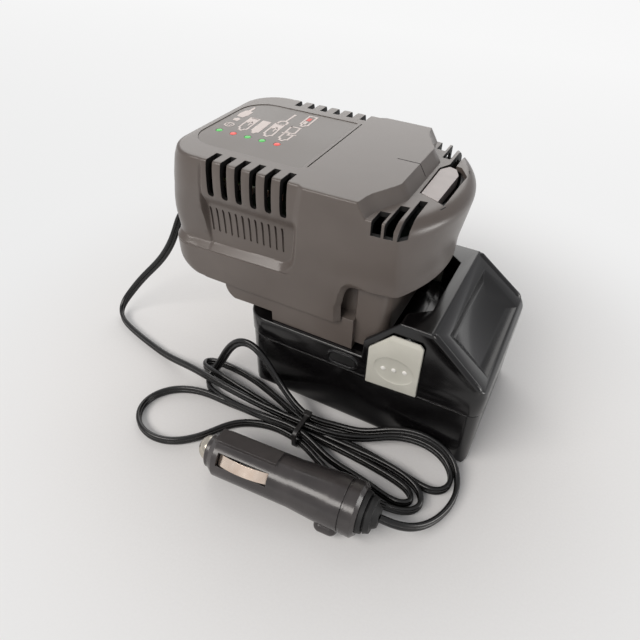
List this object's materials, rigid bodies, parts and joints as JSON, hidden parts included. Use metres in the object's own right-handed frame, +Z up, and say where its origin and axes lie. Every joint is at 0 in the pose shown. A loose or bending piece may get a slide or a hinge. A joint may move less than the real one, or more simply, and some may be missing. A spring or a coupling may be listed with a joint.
{
  "type": "vehicle battery charger with docked tool pack",
  "caption": "Vehicle-socket charger head clipped on a slide-on tool battery pack, with side release buttons, air slots, a bundled flat lead and a sprung socket plug.",
  "frame": {"origin": "on the surface that the docked pack rests on, below the middle of the charger and pack together", "axes": "+X from the charger's back to the pack's finger slope, the way the pack slides off; +Y across, away from the bundled lead; +Z up"},
  "size_m": [0.2202, 0.1435, 0.1227],
  "materials": {
    "head_abs": "fine-moulded warm dark grey ABS",
    "label_film": "printed polyester film",
    "lamp_plastic": "clear moulded light pipes over green and red lamps",
    "lamp_resin": "moulded lamp bodies",
    "window_plastic": "translucent white polycarbonate",
    "board": "solder-resist coated circuit board",
    "copper_winding": "enamelled copper wire",
    "capacitor_sleeve": "shrink sleeve over aluminium cans",
    "sink_aluminium": "extruded",
    "transistor_epoxy": "moulded epoxy",
    "terminal_nylon": "glass-filled nylon",
    "contact_brass": "stamped brass",
    "lead_silicone": "silicone insulation",
    "steel_screw": "zinc-plated steel",
    "spring_steel": "music wire",
    "cord_pvc": "flexible PVC sheath",
    "tie_nylon": "moulded nylon",
    "plug_plastic": "polished black moulding",
    "plug_nickel": "nickel-plated brass",
    "fuse_glass": "glass tube fuse",
    "pack_abs": "semi-gloss black moulding",
    "cell_wrap": "heat-shrunk cell wrap",
    "holder_nylon": "moulded nylon",
    "nickel_strip": "nickel strip",
    "bung_rubber": "moulded rubber",
    "button_plastic": "light grey moulding"
  },
  "bodies": {
    "charger": {"top_housing": "head_abs", "base_housing": "head_abs", "label_sheet": "label_film", "lamp_light_pipes": "lamp_plastic", "status_lamps": "lamp_resin", "deck_lens": "window_plastic", "circuit_board": "board", "power_coil": "copper_winding", "smoothing_capacitors": "capacitor_sleeve", "heat_sink": "sink_aluminium", "power_transistors": "transistor_epoxy", "terminal_block": "terminal_nylon", "contact_blades": "contact_brass", "output_leads": "lead_silicone", "housing_screws": "steel_screw", "cord_gland": "cord_pvc", "supply_cord": "cord_pvc", "cable_tie": "tie_nylon", "plug_barrel": "plug_plastic", "plug_nose_cap": "plug_plastic", "plug_tail_cap": "plug_plastic", "plug_strain_relief": "cord_pvc", "plug_tip_spring": "spring_steel", "plug_fuse": "fuse_glass"},
    "battery_pack": {"pack_upper_case": "pack_abs", "pack_lower_case": "pack_abs", "battery_cells": "cell_wrap", "cell_holder_right": "holder_nylon", "cell_holder_left": "holder_nylon", "cell_tabs": "nickel_strip", "protection_board": "board", "pack_terminals": "contact_brass", "side_port_bung": "bung_rubber", "pack_screws": "steel_screw", "button_spring_right": "spring_steel", "button_spring_left": "spring_steel"},
    "release_button_right": {"release_button_right": "button_plastic"},
    "release_button_left": {"release_button_left": "button_plastic"},
    "plug_tip": {"plug_tip_contact": "plug_nickel"},
    "plug_contact_near": {"plug_side_contact_near": "plug_nickel"},
    "plug_contact_far": {"plug_side_contact_far": "plug_nickel"}
  },
  "joints": [
    {"name": "pack_slide", "type": "slide", "parent": "charger", "child": "battery_pack", "axis": [1, 0, 0], "range_m": [0, 0.066]},
    {"name": "right_release", "type": "slide", "parent": "battery_pack", "child": "release_button_right", "axis": [0, 1, 0], "range_m": [0, 0.0025], "stiffness_N_per_m": 800, "springref_m": -0.002, "deforming": ["button_spring_right"]},
    {"name": "left_release", "type": "slide", "parent": "battery_pack", "child": "release_button_left", "axis": [0, -1, 0], "range_m": [0, 0.0025], "stiffness_N_per_m": 800, "springref_m": -0.002, "deforming": ["button_spring_left"]},
    {"name": "tip_press", "type": "slide", "parent": "charger", "child": "plug_tip", "axis": [0.9985, 0.0523, 0.0175], "range_m": [0, 0.004], "stiffness_N_per_m": 900, "springref_m": -0.003, "deforming": ["plug_tip_spring"]},
    {"name": "near_contact_press", "type": "slide", "parent": "charger", "child": "plug_contact_near", "axis": [-0.0289, 0.7656, -0.6427], "range_m": [0, 0.001], "stiffness_N_per_m": 900, "springref_m": -0.001},
    {"name": "far_contact_press", "type": "slide", "parent": "charger", "child": "plug_contact_far", "axis": [0.0289, -0.7656, 0.6427], "range_m": [0, 0.001], "stiffness_N_per_m": 900, "springref_m": -0.001}
  ]
}
